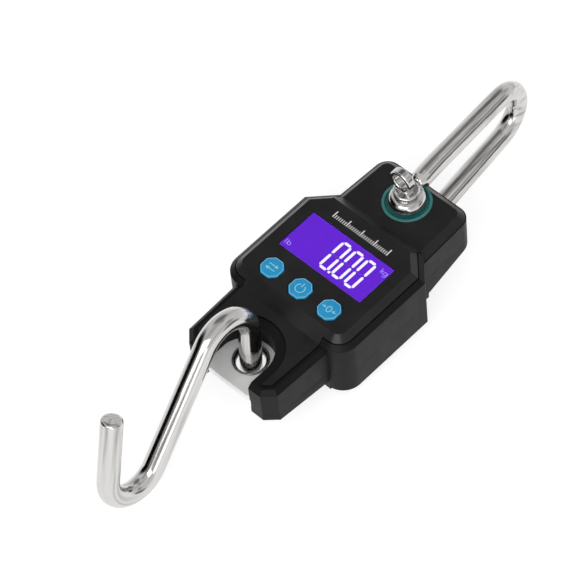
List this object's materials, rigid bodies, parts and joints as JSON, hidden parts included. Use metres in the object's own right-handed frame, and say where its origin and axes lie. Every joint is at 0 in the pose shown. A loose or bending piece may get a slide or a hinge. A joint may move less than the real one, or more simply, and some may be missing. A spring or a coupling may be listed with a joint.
{
  "type": "digital hanging scale",
  "caption": "Pocket digital hanging scale: a plastic case with display and keys round a load cell, a bow shackle with a pin above and a loose S-shaped hook below.",
  "frame": {"origin": "centre of the display block's flat rear face", "axes": "+X to the right of someone reading the display, +Y towards the shackle, +Z out of the display"},
  "size_m": [0.063, 0.2434, 0.0521],
  "materials": {
    "case_front": "satin, finely textured",
    "case_shell": "satin, finely textured",
    "display": "clear, backlit violet",
    "lcd": "clear",
    "backlight": "glossy",
    "connector_rubber": "matte",
    "keys": "satin silicone",
    "circuit_board": "glossy solder mask",
    "chips": "matte",
    "switches": "satin",
    "cell_steel": "satin",
    "gauges": "satin",
    "screws": "zinc plated",
    "bush_nylon": "satin",
    "battery_jacket": "glossy",
    "contact_metal": "nickel plated",
    "eyelet_steel": "satin",
    "hook_steel": "polished"
  },
  "bodies": {
    "housing": {"front_cover": "case_front", "front_shell": "case_shell", "rear_shell": "case_shell", "display_lens": "display", "lcd_glass": "lcd", "lcd_backlight": "backlight", "lcd_connectors": "connector_rubber", "main_pcb": "circuit_board", "pcb_screws": "screws", "board_chips": "chips", "buzzer": "chips", "tact_switches": "switches", "load_cell": "cell_steel", "strain_gauges": "gauges", "gauge_flex": "gauges", "load_cell_screws": "screws", "front_pin_bush": "bush_nylon", "rear_pin_bush": "bush_nylon", "batteries": "battery_jacket", "battery_springs": "contact_metal", "battery_contacts": "contact_metal", "housing_screws": "screws"},
    "shackle": {"shackle_bow": "hook_steel", "shackle_pin": "hook_steel"},
    "eyelet": {"hook_bush": "eyelet_steel"},
    "hook": {"s_hook": "hook_steel"},
    "unit_key": {"unit_button": "keys"},
    "power_key": {"power_button": "keys"},
    "tare_key": {"tare_button": "keys"},
    "door": {"battery_door": "case_shell"}
  },
  "joints": [
    {"name": "shackle_swivel", "type": "hinge", "parent": "housing", "child": "shackle", "pos_m": [0, 0.0428, 0.0163], "axis": [0, 0, 1], "range_deg": [-65, 55]},
    {"name": "hook_turn", "type": "hinge", "parent": "housing", "child": "eyelet", "pos_m": [0, -0.0453, 0.0146], "axis": [0, 0, 1], "range_deg": [-40, 40]},
    {"name": "hook_swing", "type": "hinge", "parent": "eyelet", "child": "hook", "pos_m": [0, -0.0453, 0.0146], "axis": [1, 0, 0], "range_deg": [-10, 28]},
    {"name": "unit_press", "type": "slide", "parent": "housing", "child": "unit_key", "axis": [0, 0, -1], "range_m": [0, 0.0006], "stiffness_N_per_m": 600},
    {"name": "power_press", "type": "slide", "parent": "housing", "child": "power_key", "axis": [0, 0, -1], "range_m": [0, 0.0006], "stiffness_N_per_m": 600},
    {"name": "tare_press", "type": "slide", "parent": "housing", "child": "tare_key", "axis": [0, 0, -1], "range_m": [0, 0.0006], "stiffness_N_per_m": 600},
    {"name": "door_slide", "type": "slide", "parent": "housing", "child": "door", "axis": [0, -1, 0], "range_m": [0, 0.036]}
  ]
}
